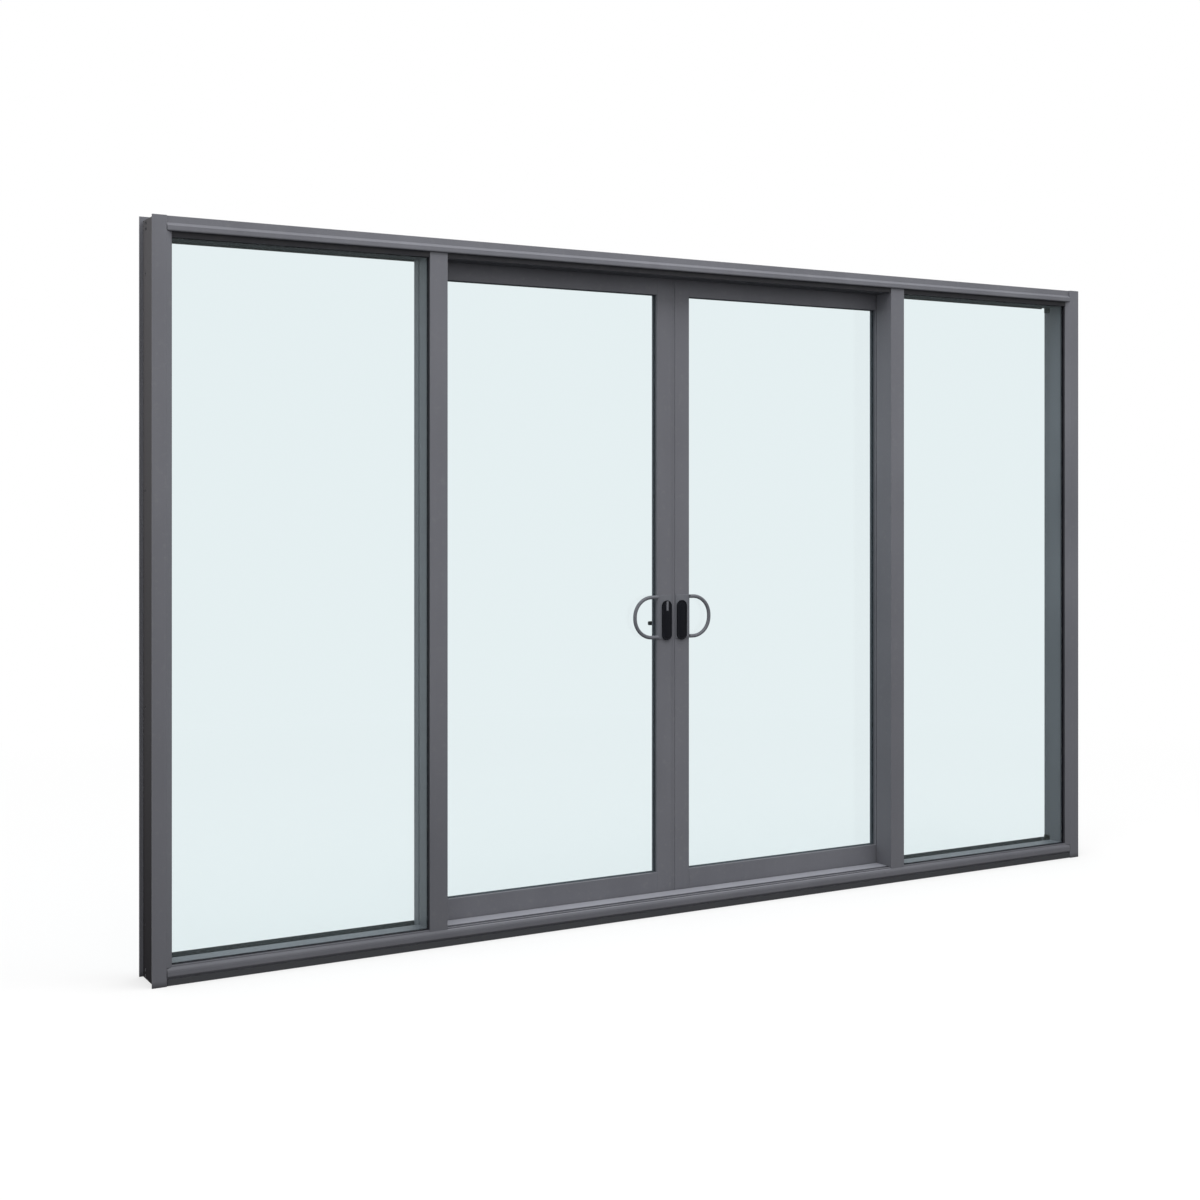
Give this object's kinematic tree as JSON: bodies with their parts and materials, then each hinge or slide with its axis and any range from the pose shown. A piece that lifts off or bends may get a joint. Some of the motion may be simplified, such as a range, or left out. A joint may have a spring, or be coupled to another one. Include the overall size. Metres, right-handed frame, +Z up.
{
  "type": "aluminium sliding patio door",
  "caption": "Bi-parting sliding patio door: fixed glass lites at the ends, inner leaves that slide apart behind them, D-shaped pulls and a lock snib.",
  "frame": {"origin": "centre of the sill's base, on its flat underside, half-way through the frame's depth", "axes": "+X along the wall to the right seen from outdoors, +Y from outdoors to indoors, +Z up"},
  "size_m": [3.44, 0.1433, 2.112],
  "materials": {
    "frame_coat": "satin powder coat",
    "leaf_coat": "satin powder coat",
    "handle_coat": "satin powder coat",
    "lock_black": "satin",
    "glass": "clear float glass",
    "gasket": "matt",
    "buffer": "matt",
    "brush": "pile",
    "track": "mill",
    "carriage": "zinc plated",
    "wheel": "nylon",
    "nylon": "nylon"
  },
  "bodies": {
    "frame": {"head": "frame_coat", "sill": "frame_coat", "jamb_left": "frame_coat", "jamb_right": "frame_coat", "jamb_cover_left": "frame_coat", "jamb_cover_right": "frame_coat", "mullion_left": "frame_coat", "mullion_right": "frame_coat", "fixed_glass_left": "glass", "fixed_glass_right": "glass", "fixed_gasket_left": "gasket", "fixed_gasket_right": "gasket", "sill_track": "track", "head_guide": "track", "travel_stop_left": "buffer", "travel_stop_right": "buffer", "brush_seal_left": "brush", "brush_seal_right": "brush"},
    "leaf_left": {"interlock_stile_left": "leaf_coat", "meeting_stile_left": "leaf_coat", "bottom_rail_left": "leaf_coat", "top_rail_left": "leaf_coat", "leaf_glass_left": "glass", "leaf_gasket_left": "gasket", "roller_carriages_left": "carriage", "rollers_left": "wheel", "guide_blocks_left": "nylon", "handle_left": "handle_coat", "lock_plate_left": "lock_black", "inner_plate_left": "lock_black"},
    "leaf_right": {"interlock_stile_right": "leaf_coat", "meeting_stile_right": "leaf_coat", "bottom_rail_right": "leaf_coat", "top_rail_right": "leaf_coat", "leaf_glass_right": "glass", "leaf_gasket_right": "gasket", "roller_carriages_right": "carriage", "rollers_right": "wheel", "guide_blocks_right": "nylon", "handle_right": "handle_coat", "lock_plate_right": "lock_black", "inner_plate_right": "lock_black", "meeting_adaptor": "leaf_coat", "meeting_seal": "gasket"},
    "snib": {"thumb_turn": "lock_black"}
  },
  "joints": [
    {"name": "slide_left", "type": "slide", "parent": "frame", "child": "leaf_left", "axis": [-1, 0, 0], "range_m": [0, 0.678]},
    {"name": "slide_right", "type": "slide", "parent": "frame", "child": "leaf_right", "axis": [1, 0, 0], "range_m": [0, 0.678]},
    {"name": "snib_turn", "type": "hinge", "parent": "leaf_left", "child": "snib", "pos_m": [-0.023, 0.066, 0.922], "axis": [0, 1, 0], "range_deg": [0, 90]}
  ]
}
